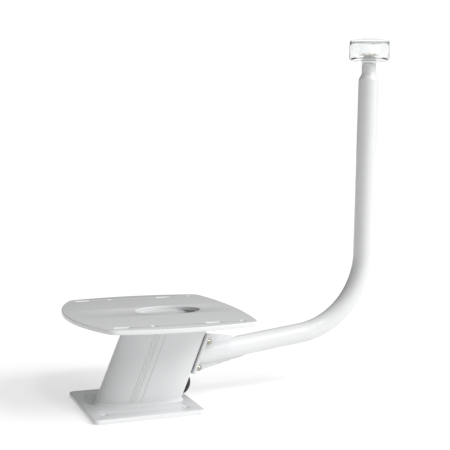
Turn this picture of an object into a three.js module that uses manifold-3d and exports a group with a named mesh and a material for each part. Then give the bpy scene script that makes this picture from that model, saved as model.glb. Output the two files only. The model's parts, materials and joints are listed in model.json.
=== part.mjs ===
// Raked radome mount with a bolted-on light pole, in millimetres, +Z up.
// Origin: centre of the base plate's underside. +X: the way the column rakes, towards the pole.
// The mount is the same on both sides of the plane y = 0.
import * as THREE from 'three';
import { mergeVertices } from 'three/addons/utils/BufferGeometryUtils.js';
import Module from 'manifold-3d';

const wasm = await Module();
wasm.setup();

// ---- Driving dimensions ----
const GAP = 0.3;
const PLATE = 7;
const TOP_HEIGHT = 150;
const RAKE = THREE.MathUtils.degToRad(21.1);
const LEAN = Math.tan(RAKE);

const BASE = { length: 176, width: 170, corner: 9, boltX: 65, boltY: 59, boltR: 4.5 };
const CABLE_HOLE = { x: 36, halfX: 20, halfY: 18 };

// Oval section, cut flat at the back. Its centre is given at the base plate's top face.
const COLUMN = { centreX: 11.6, halfX: 78, halfY: 31.5, landX: 59, wall: 4.5, backWall: 12 };
const GROOVE = { offsets: [-32, -28, -24, -14.5], width: 1.4, depth: 0.7 };

const TOP = { centreX: 38.5, cornerX: 114, cornerY: 131, frontBow: 37, backBow: 14, sideBow: 14, corner: 18 };
const TOP_OPENING = { x: 53, halfX: 53, halfY: 34 };
// Radome pattern: slots and holes by turns along each row, 141.5 mm apart, rows 233 mm apart.
const RADOME = { step: 141.5 / 3, rowY: 116.5, slotLength: 26, holeR: 4.2 };

// The flange's place is its centre on the column's flat back.
const FLANGE = { z: 80.5, length: 69, width: 46, thickness: 5, corner: 7, gasket: 1, cableR: 12 };
const BOLT = { alongRake: 22.5, y: 16, shankR: 3, headR: 5, headHeight: 7, washerR: 5.4, washer: 1.2, length: 17 };
const BUNG = { z: 28, headR: 16.5, dome: 12, holeR: 10, neckR: 9.6, neckLength: 9.5 };

const TUBE = { outerR: 16.7, innerR: 14.4, slope: 0.1243, bendR: 136, poleX: 411.5, topZ: 530 };
const TUBE_REF = { x: 235.7, z: 90.5 };
const WEB = { thickness: 6, lowerFootZ: 44, lowerTipX: 190, upperTopZ: 106.5, upperTipX: 172 };

const NECK = { r: 11.8, coneTopZ: 541, topZ: 558, spigot: 22, boreR: 5 };
const SOCKET = { topZ: 563, r: 13.2, stemR: 9, stemTopZ: 570 };
const LENS = { r: 34, bottomZ: 563.3, topZ: 590.3, wall: 3, floor: 3, corner: 4, holeR: 9.4 };
const CAP = { r: 33.6, topZ: 597.5, crown: 1.2, plug: 2.4, tabAngle: -112, tabWidth: 5, tabDrop: 4.5 };
const DIFFUSER = { r: 19, wall: 1.6, bottomZ: 573, topZ: 588 };
const BOARD = { r: 16.5, thickness: 1.6, bottomZ: 570.3 };
const EMITTER = { count: 6, ringR: 11, size: 3.5, height: 1.8 };

const white = () => new THREE.MeshStandardMaterial({ color: 0xf1f2f2, roughness: 0.38, metalness: 0 });
const steel = () => new THREE.MeshStandardMaterial({ color: 0xb9bbbc, roughness: 0.3, metalness: 1 });
const rubber = () => new THREE.MeshStandardMaterial({ color: 0x18191a, roughness: 0.75, metalness: 0 });
const clear = () => new THREE.MeshStandardMaterial({ color: 0xe6eaea, roughness: 0.1, metalness: 0 });
const board = () => new THREE.MeshStandardMaterial({ color: 0xe9ebe6, roughness: 0.5, metalness: 0 });
const emitter = () => new THREE.MeshStandardMaterial({ color: 0xf2e58a, roughness: 0.3, metalness: 0 });

// ---- Solids ----
function solid(geometry) {
  const bare = geometry.index ? geometry.toNonIndexed() : geometry.clone();
  bare.deleteAttribute('normal');
  bare.deleteAttribute('uv');
  const merged = mergeVertices(bare, 1e-4);
  const vertProperties = new Float32Array(merged.attributes.position.array);
  const triVerts = new Uint32Array(merged.index.array);
  return new wasm.Manifold(new wasm.Mesh({ numProp: 3, vertProperties, triVerts }));
}

function geometryOf(manifold) {
  const mesh = manifold.getMesh();
  const geometry = new THREE.BufferGeometry();
  geometry.setAttribute('position', new THREE.BufferAttribute(new Float32Array(mesh.vertProperties), 3));
  geometry.setIndex(new THREE.BufferAttribute(new Uint32Array(mesh.triVerts), 1));
  geometry.computeVertexNormals();
  return geometry;
}

function cut(body, tools) {
  return geometryOf(tools.reduce((rest, tool) => rest.subtract(solid(tool)), solid(body)));
}

function piece(name, geometry, material) {
  const mesh = new THREE.Mesh(geometry, material);
  mesh.name = name;
  return mesh;
}

// A flat outline raised along +Z from one height to another.
function slab(shape, bottom, top, curveSegments = 10) {
  const geometry = new THREE.ExtrudeGeometry(shape, { depth: top - bottom, bevelEnabled: false, curveSegments });
  return geometry.translate(0, 0, bottom);
}

// A turned piece about the Z axis: profile points are [radius, height].
function turned(profile, sides = 32) {
  const points = profile.map(([r, z]) => new THREE.Vector2(r, z));
  return new THREE.LatheGeometry(points, sides).rotateX(Math.PI / 2);
}

function ring(innerR, outerR, bottom, top, sides = 24) {
  return turned([[innerR, bottom], [outerR, bottom], [outerR, top], [innerR, top], [innerR, bottom]], sides);
}

function rod(r, bottom, top, sides = 24) {
  return turned([[0, bottom], [r, bottom], [r, top], [0, top]], sides);
}

function roundedRectangle(length, width, r) {
  const x = length / 2;
  const y = width / 2;
  const shape = new THREE.Shape();
  shape.absarc(x - r, y - r, r, 0, Math.PI / 2);
  shape.absarc(r - x, y - r, r, Math.PI / 2, Math.PI);
  shape.absarc(r - x, r - y, r, Math.PI, Math.PI * 1.5);
  shape.absarc(x - r, r - y, r, Math.PI * 1.5, Math.PI * 2);
  shape.closePath();
  return shape;
}

function ellipsePath(x, y, halfX, halfY) {
  return new THREE.Path().absellipse(x, y, halfX, halfY, 0, Math.PI * 2);
}

function slotPath(x, y, length, r) {
  const half = length / 2 - r;
  const path = new THREE.Path();
  path.absarc(x + half, y, r, -Math.PI / 2, Math.PI / 2);
  path.absarc(x - half, y, r, Math.PI / 2, Math.PI * 1.5);
  path.closePath();
  return path;
}

// ---- Column ----
const columnLean = new THREE.Matrix4().makeShear(0, 0, 0, 0, LEAN, 0);
const landXAt = (z) => COLUMN.centreX + COLUMN.landX + LEAN * (z - PLATE);

function ovalHeight(u, halfX, halfY) {
  return halfY * Math.sqrt(Math.max(0, 1 - (u / halfX) ** 2));
}

// One side of the oval from the front tip to the flat back, as [u, v] with v positive.
function ovalSide(halfX, halfY, landX, grooves) {
  const endAngle = Math.acos(-landX / halfX);
  const steps = 22;
  const inGroove = (u) => grooves.some((g) => Math.abs(u - g) < GROOVE.width);
  const plain = Array.from({ length: steps + 1 }, (_, i) => -halfX * Math.cos((endAngle * i) / steps));
  const points = plain.filter((u) => !inGroove(u)).map((u) => [u, ovalHeight(u, halfX, halfY)]);
  for (const g of grooves) {
    for (const [offset, depth] of [[-0.5, 0], [-0.3, 1], [0.3, 1], [0.5, 0]]) {
      const u = g + offset * GROOVE.width;
      points.push([u, ovalHeight(u, halfX, halfY) - depth * GROOVE.depth]);
    }
  }
  return points.sort((a, b) => a[0] - b[0]);
}

function ovalPoints(halfX, halfY, landX, grooves = []) {
  const side = ovalSide(halfX, halfY, landX, grooves);
  const far = side.map(([u, v]) => new THREE.Vector2(u, v));
  const near = side.slice(1).map(([u, v]) => new THREE.Vector2(u, -v));
  return [...near, ...far.reverse()];
}

function makeColumn() {
  const { centreX, halfX, halfY, landX, wall, backWall } = COLUMN;
  const section = new THREE.Shape(ovalPoints(halfX, halfY, landX, GROOVE.offsets));
  section.holes.push(new THREE.Path(ovalPoints(halfX - wall, halfY - wall, landX - backWall)));
  const height = TOP_HEIGHT - 2 * PLATE - 2 * GAP;
  const body = slab(section, 0, height, 8).applyMatrix4(columnLean);
  body.translate(centreX + LEAN * GAP, 0, PLATE + GAP);
  const holes = [];
  for (const [along, y] of boltPlaces()) {
    holes.push(toBack(rod(BOLT.shankR + GAP, -30, 5, 16), FLANGE.z, along, y));
  }
  holes.push(toBack(rod(FLANGE.cableR, -30, 5), FLANGE.z, tubeAlong, 0));
  holes.push(toBack(rod(BUNG.holeR, -30, 5, 32), BUNG.z, 0, 0));
  return cut(body, holes);
}

// ---- Plates ----
function makeBase() {
  const shape = roundedRectangle(BASE.length, BASE.width, BASE.corner);
  for (const sx of [-1, 1]) {
    for (const sy of [-1, 1]) {
      shape.holes.push(ellipsePath(sx * BASE.boltX, sy * BASE.boltY, BASE.boltR, BASE.boltR));
    }
  }
  shape.holes.push(ellipsePath(CABLE_HOLE.x, 0, CABLE_HOLE.halfX, CABLE_HOLE.halfY));
  return slab(shape, 0, PLATE, 8);
}

// An arc through both ends of a bowed side, as its centre's distance and its radius.
function bowedSide(halfChord, mid, bow) {
  const radius = (halfChord ** 2 + bow ** 2) / (2 * bow);
  return { centre: mid - radius, radius };
}

// Centre of the rounding of radius r that touches two bowed sides from inside.
function cornerCentre(xSide, ySide, r) {
  const a = new THREE.Vector2(xSide.centre, 0);
  const b = new THREE.Vector2(0, ySide.centre);
  const ra = xSide.radius - r;
  const rb = ySide.radius - r;
  const span = b.clone().sub(a);
  const d = span.length();
  const along = (ra ** 2 - rb ** 2 + d ** 2) / (2 * d);
  const aside = Math.sqrt(ra ** 2 - along ** 2);
  const unit = span.divideScalar(d);
  const foot = a.addScaledVector(unit, along);
  return foot.add(new THREE.Vector2(-unit.y, unit.x).multiplyScalar(aside));
}

// One quarter of the plate's outline, for x and y positive, from the x axis to the y axis.
function quarterOutline(xBow, cornerR) {
  const xSide = bowedSide(TOP.cornerY, TOP.cornerX + xBow, xBow);
  const ySide = bowedSide(TOP.cornerX, TOP.cornerY + TOP.sideBow, TOP.sideBow);
  const c = cornerCentre(xSide, ySide, cornerR);
  const startAngle = Math.atan2(c.y, c.x - xSide.centre);
  const endAngle = Math.atan2(c.y - ySide.centre, c.x);
  const arc = (cx, cy, r, from, to, steps) => Array.from({ length: steps + 1 }, (_, i) => {
    const angle = from + ((to - from) * i) / steps;
    return new THREE.Vector2(cx + r * Math.cos(angle), cy + r * Math.sin(angle));
  });
  return [
    ...arc(xSide.centre, 0, xSide.radius, 0, startAngle, 7),
    ...arc(c.x, c.y, cornerR, startAngle, endAngle, 7).slice(1),
    ...arc(0, ySide.centre, ySide.radius, endAngle, Math.PI / 2, 6).slice(1),
  ];
}

function topOutline() {
  const back = quarterOutline(TOP.backBow, TOP.corner);
  const front = quarterOutline(TOP.frontBow, TOP.corner);
  const flip = (points, sx, sy) => points.map((p) => new THREE.Vector2(p.x * sx, p.y * sy));
  return [
    ...back,
    ...flip(front, -1, 1).reverse().slice(1),
    ...flip(front, -1, -1).slice(1),
    ...flip(back, 1, -1).reverse().slice(1, -1),
  ];
}

function makeTop() {
  const shape = new THREE.Shape(topOutline());
  const { step, rowY, slotLength, holeR } = RADOME;
  for (const y of [-rowY, rowY]) {
    for (const x of [-2 * step, step]) shape.holes.push(slotPath(x, y, slotLength, holeR));
    for (const x of [-step, 2 * step]) shape.holes.push(ellipsePath(x, y, holeR, holeR));
  }
  shape.holes.push(ellipsePath(TOP_OPENING.x - TOP.centreX, 0, TOP_OPENING.halfX, TOP_OPENING.halfY));
  return slab(shape, TOP_HEIGHT - PLATE, TOP_HEIGHT, 9).translate(TOP.centreX, 0, 0);
}

// ---- Back of the column ----
// Places a piece whose own +Z points out of the column's flat back, a distance along the rake and across.
function toBack(geometry, z, along, y) {
  return geometry.rotateY(Math.PI / 2).translate(0, y, along).rotateY(RAKE).translate(landXAt(z), 0, z);
}

function boltPlaces() {
  const { alongRake: a, y } = BOLT;
  return [[a, -y], [a, y], [-a, -y], [-a, y]];
}

const gasketFace = GAP + FLANGE.gasket;
const flangeBack = gasketFace + GAP;
const flangeFace = flangeBack + FLANGE.thickness;
const washerBack = flangeFace + GAP;
const headBack = washerBack + BOLT.washer + GAP;

// Where the tube's centre line meets the flange's outer face, measured along the rake.
const tubeZAt = (x) => TUBE_REF.z + TUBE.slope * (x - TUBE_REF.x);
const flangePoint = new THREE.Vector2(landXAt(FLANGE.z), FLANGE.z)
  .add(new THREE.Vector2(Math.cos(RAKE), -Math.sin(RAKE)).multiplyScalar(flangeFace));
const tubeAlong = (() => {
  const rakeDirection = new THREE.Vector2(Math.sin(RAKE), Math.cos(RAKE));
  const rise = tubeZAt(flangePoint.x) - flangePoint.y;
  return rise / (rakeDirection.y - TUBE.slope * rakeDirection.x);
})();

function flangePlate(thickness, shrink, back) {
  const shape = roundedRectangle(FLANGE.length - shrink, FLANGE.width - shrink, FLANGE.corner);
  for (const [along, y] of boltPlaces()) shape.holes.push(ellipsePath(-along, y, BOLT.shankR + GAP, BOLT.shankR + GAP));
  shape.holes.push(ellipsePath(-tubeAlong, 0, FLANGE.cableR, FLANGE.cableR));
  return toBack(slab(shape, back, back + thickness, 6), FLANGE.z, 0, 0);
}

// Button head with a hexagon socket, and its shank.
function makeBolt(along, y) {
  const head = turned([
    [0, headBack - BOLT.length], [BOLT.shankR, headBack - BOLT.length], [BOLT.shankR, headBack],
    [BOLT.headR, headBack], [BOLT.headR, headBack + 3.6], [BOLT.headR * 0.82, headBack + 5.6],
    [BOLT.headR * 0.5, headBack + BOLT.headHeight], [0, headBack + BOLT.headHeight],
  ], 18);
  const socket = rod(2.3, headBack + 4, headBack + 9, 6);
  return toBack(cut(head, [socket]), FLANGE.z, along, y);
}

function makeWasher(along, y) {
  const washer = ring(BOLT.shankR + GAP, BOLT.washerR, washerBack, washerBack + BOLT.washer, 20);
  return toBack(washer, FLANGE.z, along, y);
}

function makeBung() {
  const dome = Array.from({ length: 6 }, (_, i) => {
    const angle = (Math.PI / 2) * (i / 5);
    return [BUNG.headR * Math.cos(angle), GAP + 1.5 + (BUNG.dome - 1.5) * Math.sin(angle)];
  });
  dome[dome.length - 1][0] = 0;
  const profile = [
    [0, -BUNG.neckLength], [BUNG.neckR - 1, -BUNG.neckLength], [BUNG.neckR, -BUNG.neckLength + 2],
    [BUNG.neckR, GAP], [BUNG.headR, GAP], ...dome,
  ];
  return toBack(turned(profile, 28), BUNG.z, 0, 0);
}

// ---- Arm ----
// Everything on the column's side of the flange's outer face, as a box to cut with.
function behindFlange() {
  return toBack(new THREE.BoxGeometry(200, 200, 100).translate(0, 0, flangeFace + GAP - 50), FLANGE.z, 0, 0);
}

// The bend's centre, and the angles where it starts and ends. It ends where the upright starts.
const bend = (() => {
  const slope = Math.atan(TUBE.slope);
  const tangent = TUBE.bendR * Math.tan((Math.PI / 2 - slope) / 2);
  return { x: TUBE.poleX - TUBE.bendR, z: tubeZAt(TUBE.poleX) + tangent, from: slope - Math.PI / 2, to: 0 };
})();

function bendPoint(angle) {
  return new THREE.Vector3(bend.x + TUBE.bendR * Math.cos(angle), 0, bend.z + TUBE.bendR * Math.sin(angle));
}

function circlePoints(r, sides) {
  return Array.from({ length: sides }, (_, i) => {
    const angle = (i / sides) * Math.PI * 2;
    return new THREE.Vector2(r * Math.cos(angle), r * Math.sin(angle));
  });
}

// The pole is one bent tube on the real object. It is three solids here, an arm, a bend and an upright,
// because each is simple enough for its collision pieces to leave the bore open for the lamp's lead.
function tubeAlongPath(path, steps) {
  const section = new THREE.Shape(circlePoints(TUBE.outerR, 20));
  section.holes.push(new THREE.Path(circlePoints(TUBE.innerR, 16)));
  return new THREE.ExtrudeGeometry(section, { extrudePath: path, steps, bevelEnabled: false });
}

function makeArm() {
  const start = new THREE.Vector3(85, 0, tubeZAt(85));
  return cut(tubeAlongPath(new THREE.LineCurve3(start, bendPoint(bend.from)), 1), [behindFlange()]);
}

class BendCurve extends THREE.Curve {
  getPoint(t, target = new THREE.Vector3()) {
    const joint = GAP / TUBE.bendR;
    return target.copy(bendPoint(bend.from + joint + (bend.to - bend.from - 2 * joint) * t));
  }
}

function makeBend() {
  return tubeAlongPath(new BendCurve(), 16);
}

function makeUpright() {
  return tubeAlongPath(new THREE.LineCurve3(bendPoint(bend.to), new THREE.Vector3(TUBE.poleX, 0, TUBE.topZ)), 1);
}

// A web in the plane y = 0, cut to the flange's face and to the tube.
function makeWeb(corners) {
  const shape = new THREE.Shape(corners.map(([x, z]) => new THREE.Vector2(x, z)));
  const web = slab(shape, -WEB.thickness / 2, WEB.thickness / 2).rotateX(Math.PI / 2);
  const angle = Math.atan(TUBE.slope);
  const core = rod(TUBE.outerR + GAP, -250, 250, 40).rotateY(Math.PI / 2 - angle);
  core.translate(TUBE_REF.x, 0, TUBE_REF.z);
  return cut(web, [behindFlange(), core]);
}

function lowerWeb() {
  const foot = WEB.lowerFootZ;
  const tip = WEB.lowerTipX;
  return makeWeb([[85, foot - 4], [97, foot - 1], [tip, tubeZAt(tip) - TUBE.outerR - 1], [tip - 30, tubeZAt(tip - 30)], [85, 70]]);
}

function upperWeb() {
  const top = WEB.upperTopZ;
  const tip = WEB.upperTipX;
  return makeWeb([[105, 80], [tip - 20, tubeZAt(tip - 20)], [tip, tubeZAt(tip) + TUBE.outerR + 1], [126, top], [105, top + 1]]);
}

// ---- Neck and lamp ----
function makeNeck() {
  const foot = TUBE.topZ + GAP;
  const spigotR = TUBE.innerR - 2 * GAP;
  return turned([
    [NECK.boreR, foot - NECK.spigot], [spigotR, foot - NECK.spigot], [spigotR, foot], [TUBE.outerR, foot],
    [TUBE.outerR - 0.6, foot + 2], [NECK.r + 1.4, NECK.coneTopZ - 3], [NECK.r, NECK.coneTopZ],
    [NECK.r, NECK.topZ], [NECK.boreR, NECK.topZ], [NECK.boreR, foot - NECK.spigot],
  ]);
}

function makeSocket() {
  const foot = NECK.topZ + GAP;
  return turned([
    [NECK.boreR, foot], [NECK.r, foot], [SOCKET.r - 0.4, SOCKET.topZ - 1.4], [SOCKET.r, SOCKET.topZ],
    [SOCKET.stemR, SOCKET.topZ], [SOCKET.stemR, SOCKET.stemTopZ], [NECK.boreR, SOCKET.stemTopZ],
    [NECK.boreR, foot],
  ]);
}

function makeLens() {
  const { r, bottomZ, topZ, wall, floor, corner, holeR } = LENS;
  const rounded = Array.from({ length: 6 }, (_, i) => {
    const a = -Math.PI / 2 + (Math.PI / 2) * (i / 5);
    return [r - corner + corner * Math.cos(a), bottomZ + corner + corner * Math.sin(a)];
  });
  return turned([
    [holeR, bottomZ], ...rounded, [r, topZ], [r - wall, topZ], [r - wall, bottomZ + floor],
    [holeR, bottomZ + floor], [holeR, bottomZ],
  ], 48);
}

function makeDiffuser() {
  const { r, wall, bottomZ, topZ } = DIFFUSER;
  return ring(r - wall, r, bottomZ, topZ, 32);
}

function makeSeal() {
  const top = LENS.topZ + GAP + 0.9;
  return ring(LENS.r - LENS.wall, LENS.r - 0.6, LENS.topZ + GAP, top, 40);
}

function makeCap() {
  const foot = LENS.topZ + GAP + 0.9 + GAP;
  const plugR = LENS.r - LENS.wall - GAP;
  const disc = turned([
    [0, foot - CAP.plug], [plugR, foot - CAP.plug], [plugR, foot], [CAP.r, foot], [CAP.r, CAP.topZ - CAP.crown - 1],
    [CAP.r - 1, CAP.topZ - CAP.crown], [CAP.r * 0.5, CAP.topZ - CAP.crown * 0.2], [0, CAP.topZ],
  ], 48);
  const reach = LENS.r + GAP;
  const tab = new THREE.BoxGeometry(2.2, CAP.tabWidth, CAP.tabDrop + 3);
  tab.translate(reach + 1.1, 0, foot + 3 - (CAP.tabDrop + 3) / 2);
  const bridge = new THREE.BoxGeometry(4, CAP.tabWidth, 2.5).translate(reach + 0.2, 0, foot + 1.75);
  const turn = THREE.MathUtils.degToRad(CAP.tabAngle);
  return geometryOf([tab, bridge].reduce((body, g) => body.add(solid(g.rotateZ(turn))), solid(disc)));
}

function makeEmitter(index) {
  const foot = BOARD.bottomZ + BOARD.thickness + GAP;
  const angle = (index / EMITTER.count) * Math.PI * 2;
  const body = new THREE.CylinderGeometry(EMITTER.size / 2, EMITTER.size / 1.7, EMITTER.height, 12);
  body.rotateX(Math.PI / 2);
  return body.translate(EMITTER.ringR * Math.cos(angle), EMITTER.ringR * Math.sin(angle), foot + EMITTER.height / 2);
}

// ---- Assembly ----
const group = new THREE.Group();

const mount = new THREE.Group();
mount.add(piece('base_plate', makeBase(), white()));
mount.add(piece('column', makeColumn(), white()));
mount.add(piece('top_plate', makeTop(), white()));
mount.add(piece('cable_bung', makeBung(), rubber()));
group.add(mount);

const arm = new THREE.Group();
arm.add(piece('flange_gasket', flangePlate(FLANGE.gasket, 1, GAP), clear()));
arm.add(piece('arm_flange', flangePlate(FLANGE.thickness, 0, flangeBack), white()));
arm.add(piece('light_pole_arm', makeArm(), white()));
arm.add(piece('light_pole_bend', makeBend(), white()));
arm.add(piece('light_pole_upright', makeUpright(), white()));
arm.add(piece('lower_gusset', lowerWeb(), white()));
arm.add(piece('upper_gusset', upperWeb(), white()));
boltPlaces().forEach(([along, y], i) => {
  arm.add(piece(`flange_washer_${i + 1}`, makeWasher(along, y), steel()));
  arm.add(piece(`flange_bolt_${i + 1}`, makeBolt(along, y), steel()));
});
arm.add(piece('pole_neck', makeNeck(), white()));
group.add(arm);

const lamp = new THREE.Group();
lamp.add(piece('lamp_socket', makeSocket(), white()));
lamp.add(piece('lamp_lens', makeLens(), clear()));
lamp.add(piece('lamp_board', ring(SOCKET.stemR - 3, BOARD.r, BOARD.bottomZ, BOARD.bottomZ + BOARD.thickness), board()));
lamp.add(piece('lamp_diffuser', makeDiffuser(), clear()));
for (let i = 0; i < EMITTER.count; i += 1) lamp.add(piece(`light_emitter_${i + 1}`, makeEmitter(i), emitter()));
lamp.add(piece('cap_seal', makeSeal(), clear()));
lamp.add(piece('lamp_cap', makeCap(), clear()));
lamp.position.set(TUBE.poleX, 0, 0);
group.add(lamp);
arm.getObjectByName('pole_neck').position.x = TUBE.poleX;

export default group;
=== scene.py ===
# %% [markdown]
# # A raked radome mount with a light pole
# The real object is welded from aluminium plate, one oval extrusion and one bent tube, coated
# with white powder, and bolted together with stainless screws. A clear all-round light sits on
# the pole. The CAD frame already has every solid in its true place. This lesson makes the fine
# surfaces: rounded edges, drawn grooves, weld beads, turned screws and the clear lamp.

# %% Load the frame
import json
import math

import bmesh
import bpy
from mathutils import Matrix, Vector


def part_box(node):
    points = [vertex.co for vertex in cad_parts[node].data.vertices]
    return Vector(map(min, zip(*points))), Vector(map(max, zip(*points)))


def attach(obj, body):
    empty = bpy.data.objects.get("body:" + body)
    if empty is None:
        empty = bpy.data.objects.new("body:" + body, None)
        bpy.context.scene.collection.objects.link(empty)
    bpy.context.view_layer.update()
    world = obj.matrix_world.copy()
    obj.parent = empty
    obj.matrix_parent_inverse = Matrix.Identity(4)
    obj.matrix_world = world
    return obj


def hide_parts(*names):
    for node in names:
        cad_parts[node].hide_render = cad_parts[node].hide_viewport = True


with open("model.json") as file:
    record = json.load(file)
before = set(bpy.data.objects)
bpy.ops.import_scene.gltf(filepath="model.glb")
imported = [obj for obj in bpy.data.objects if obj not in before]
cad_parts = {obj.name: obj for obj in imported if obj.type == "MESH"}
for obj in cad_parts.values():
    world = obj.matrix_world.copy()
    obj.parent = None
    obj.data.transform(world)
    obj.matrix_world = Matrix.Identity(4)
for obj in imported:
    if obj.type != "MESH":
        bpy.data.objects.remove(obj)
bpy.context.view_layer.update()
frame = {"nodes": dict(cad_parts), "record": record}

# %% [markdown]
# ## Camera
# A product picture is usually taken with a long lens from just above the deck line, a little
# off the side. The camera is turned by three plain angles, so that each can be read and changed.

# %% Camera
AZIMUTH, ELEVATION, ROLL = (math.radians(a) for a in (-22.86, 4.96, 1.1))
CAMERA_PLACE = Vector((-0.418, -1.3457, 0.4115))
LENS = 72.0
SENSOR = 36.0


def camera_turn(azimuth, elevation, roll):
    flat = math.cos(elevation)
    back = Vector((math.sin(azimuth) * flat, -math.cos(azimuth) * flat, math.sin(elevation)))
    level = Vector((math.cos(azimuth), math.sin(azimuth), 0))
    upright = back.cross(level)
    right = level * math.cos(roll) + upright * math.sin(roll)
    up = upright * math.cos(roll) - level * math.sin(roll)
    return Matrix((right, up, back)).transposed().to_4x4()


camera_data = bpy.data.cameras.new("view")
camera_data.lens = LENS
camera_data.sensor_width = SENSOR
camera = bpy.data.objects.new("view", camera_data)
camera.matrix_world = Matrix.Translation(CAMERA_PLACE) @ camera_turn(AZIMUTH, ELEVATION, ROLL)
bpy.context.scene.collection.objects.link(camera)
bpy.context.scene.camera = camera
print("camera at", tuple(round(c, 3) for c in CAMERA_PLACE))

# %% [markdown]
# ## Driving sizes
# The big sizes are read from the frame's boxes, so the looks follow the CAD if it changes. Only
# what a box can't tell, such as the oval's curve or the angle of the rake, is written here.

# %% Driving sizes
MM = 0.001
base_low, base_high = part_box("base_plate")
top_low, top_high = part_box("top_plate")
pole_low, pole_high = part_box("light_pole_upright")
PLATE = base_high.z - base_low.z
SEAT = top_high.z
EDGE = 1.3 * MM
RAKE = math.radians(21.1)
LEAN = math.tan(RAKE)
OVAL = {"centre": 11.6 * MM, "half_x": 78 * MM, "half_y": 31.5 * MM, "back": 59 * MM}
WALL = 4.5 * MM
BACK_WALL = 12 * MM
TUBE_R = (pole_high.y - pole_low.y) / 2
POLE_X = pole_high.x - TUBE_R
print("plate", round(PLATE / MM, 2), "mm, tube", round(2 * TUBE_R / MM, 2), "mm across")

# %% [markdown]
# ## Mesh helpers
# Almost every piece here is a skin over rings of points: a turned screw, a bent tube and a weld
# bead differ only in where the rings stand. One helper that skins rings keeps the meshes closed
# and clean. Corners of a profile are eased with short curves, because no real edge is sharp.

# %% Mesh helpers
SMOOTH_ANGLE = math.radians(32)


def add_piece(name, mesh, body, replaced=()):
    piece = bpy.data.objects.new(name, mesh)
    bpy.context.scene.collection.objects.link(piece)
    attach(piece, body)
    if replaced:
        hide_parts(*replaced)
    return piece


def tidy_mesh(bm, name):
    bmesh.ops.remove_doubles(bm, verts=bm.verts, dist=1e-6)
    bmesh.ops.recalc_face_normals(bm, faces=bm.faces)
    mesh = bpy.data.meshes.new(name)
    bm.to_mesh(mesh)
    bm.free()
    mesh.polygons.foreach_set("use_smooth", [True] * len(mesh.polygons))
    mesh.set_sharp_from_angle(angle=SMOOTH_ANGLE)
    return mesh


def skin(name, rings, loop=False):
    """A closed mesh over rings of points. loop joins the last ring to the first."""
    bm = bmesh.new()
    rows = [[bm.verts.new(p) for p in ring] for ring in rings]
    count = len(rows[0])
    followers = rows[1:] + rows[:1] if loop else rows[1:]
    for row, after in zip(rows, followers):
        for j in range(count):
            k = (j + 1) % count
            bm.faces.new((row[j], row[k], after[k], after[j]))
    if not loop:
        bm.faces.new(rows[0])
        bm.faces.new(rows[-1])
    return tidy_mesh(bm, name)


def eased(points, reach, steps=4, closed=True):
    """The polyline with each corner replaced by a short curve that starts reach away from it."""
    points = [Vector(p) for p in points]
    count = len(points)
    out = []
    for i, corner in enumerate(points):
        if not closed and i in (0, count - 1):
            out.append(corner)
            continue
        to_before = points[i - 1] - corner
        to_after = points[(i + 1) % count] - corner
        start = corner + to_before.normalized() * min(reach, to_before.length * 0.45)
        end = corner + to_after.normalized() * min(reach, to_after.length * 0.45)
        for s in range(steps + 1):
            t = s / steps
            out.append(start * (1 - t) ** 2 + corner * 2 * t * (1 - t) + end * t ** 2)
    return out


def turned(name, profile, place, sides=96, loop=False, hexagon_from=None):
    """A piece turned about its own Z axis. Rings from hexagon_from on are six-sided."""
    rings = []
    for i, (radius, height) in enumerate(profile):
        ring = []
        for j in range(sides):
            angle = 2 * math.pi * j / sides
            reach = radius
            if hexagon_from is not None and i >= hexagon_from:
                reach = radius / math.cos((angle % (math.pi / 3)) - math.pi / 6)
            ring.append(place @ Vector((reach * math.cos(angle), reach * math.sin(angle), height)))
        rings.append(ring)
    return skin(name, rings, loop)


def flat_plate(name, outlines, bottom, top, edge, place=Matrix()):
    """A plate with rounded edges: the first outline is its rim and the others are its holes."""
    curve = bpy.data.curves.new(name, "CURVE")
    curve.dimensions = "2D"
    curve.fill_mode = "BOTH"
    curve.extrude = (top - bottom) / 2 - edge
    curve.bevel_depth = edge
    curve.bevel_resolution = 3
    curve.offset = -edge
    for outline in outlines:
        spline = curve.splines.new("POLY")
        spline.points.add(len(outline) - 1)
        for point, at in zip(spline.points, outline):
            point.co = (at[0], at[1], 0, 1)
        spline.use_cyclic_u = True
    holder = bpy.data.objects.new(name, curve)
    bpy.context.scene.collection.objects.link(holder)
    finished = holder.evaluated_get(bpy.context.evaluated_depsgraph_get())
    filled = bpy.data.meshes.new_from_object(finished)
    bpy.data.objects.remove(holder)
    bpy.data.curves.remove(curve)
    filled.transform(place @ Matrix.Translation((0, 0, (top + bottom) / 2)))
    bm = bmesh.new()
    bm.from_mesh(filled)
    bpy.data.meshes.remove(filled)
    return tidy_mesh(bm, name)


def arc(cx, cy, radius, start, end, steps):
    turns = (start + (end - start) * i / steps for i in range(steps + 1))
    return [(cx + radius * math.cos(a), cy + radius * math.sin(a)) for a in turns]


def ellipse(cx, cy, rx, ry, steps=96):
    turns = (2 * math.pi * i / steps for i in range(steps))
    return [(cx + rx * math.cos(a), cy + ry * math.sin(a)) for a in turns]


def rounded_rectangle(length, width, r, steps=10):
    x, y, quarter = length / 2 - r, width / 2 - r, math.pi / 2
    centres = ((x, y), (-x, y), (-x, -y), (x, -y))
    corners = [arc(cx, cy, r, i * quarter, (i + 1) * quarter, steps) for i, (cx, cy) in enumerate(centres)]
    return [point for corner in corners for point in corner]


def slot_outline(x, y, length, r):
    half, quarter = length / 2 - r, math.pi / 2
    right = arc(x + half, y, r, -quarter, quarter, 16)
    left = arc(x - half, y, r, quarter, 3 * quarter, 16)
    return right + left


# %% [markdown]
# ## Surface groups
# Powder coat flows as it melts and sets with a faint orange-peel skin. Rubber and plastic keep
# the grain of their mould, and bare steel keeps the rings of the lathe. Each of these effects
# is a node group with its own sockets, so that several finishes can share it at different scales.

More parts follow.
